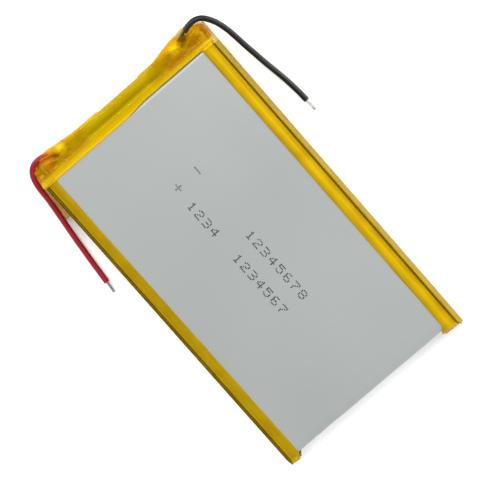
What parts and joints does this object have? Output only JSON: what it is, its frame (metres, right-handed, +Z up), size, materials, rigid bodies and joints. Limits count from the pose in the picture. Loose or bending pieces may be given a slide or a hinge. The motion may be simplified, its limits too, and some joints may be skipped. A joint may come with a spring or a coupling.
{
  "type": "pouch battery cell",
  "caption": "Flat lithium-polymer pouch cell with folded side seals under amber tape, a taped protection board at one end, and red and black bare-ended leads.",
  "frame": {"origin": "middle of the cell's footprint without its leads, on the surface it lies on", "axes": "+Z up through the thickness, drawn face up; +Y along the length towards the terminal end; +X towards the black negative lead"},
  "size_m": [0.0749, 0.1083, 0.009],
  "materials": {
    "laminate": "satin, polymer-coated aluminium laminate",
    "amber_tape": "glossy see-through amber polyimide tape",
    "wrap_tape": "glossy see-through amber polyimide tape, crumpled",
    "cathode": "dark oxide coating on foil",
    "anode": "graphite coating on foil",
    "separator": "white porous film",
    "closing_tape": "thin green tape",
    "aluminium_tab": "rolled foil",
    "nickel": "rolled nickel strip",
    "tab_film": "translucent sealing film",
    "insulating_paper": "matt insulating paper",
    "circuit_board": "solder-masked glass epoxy",
    "chip": "moulded epoxy",
    "capacitor": "ceramic chip",
    "solder": "bright solder",
    "tinned_wire": "tinned copper strands",
    "red_insulation": "satin flexible insulation",
    "black_insulation": "satin flexible insulation"
  },
  "bodies": {
    "root": {"pouch_cup": "laminate", "pouch_cover": "laminate", "positive_electrode": "cathode", "negative_electrode": "anode", "separator_inner": "separator", "separator_outer": "separator", "roll_closing_tape": "closing_tape", "positive_tab": "aluminium_tab", "negative_tab": "nickel", "positive_film_upper": "tab_film", "positive_film_lower": "tab_film", "negative_film_upper": "tab_film", "negative_film_lower": "tab_film", "positive_link": "nickel", "negative_link": "nickel", "insulating_paper": "insulating_paper", "protection_board": "circuit_board", "protection_ic": "chip", "mosfet_a": "chip", "mosfet_b": "chip", "supply_resistor": "chip", "sense_resistor": "chip", "filter_capacitor": "capacitor", "positive_solder": "solder", "negative_solder": "solder", "red_lead": "red_insulation", "black_lead": "black_insulation", "red_lead_tip": "tinned_wire", "black_lead_tip": "tinned_wire", "red_lead_root": "tinned_wire", "black_lead_root": "tinned_wire", "side_tape_left": "amber_tape", "side_tape_right": "amber_tape", "terminal_wrap": "wrap_tape"}
  },
  "joints": []
}
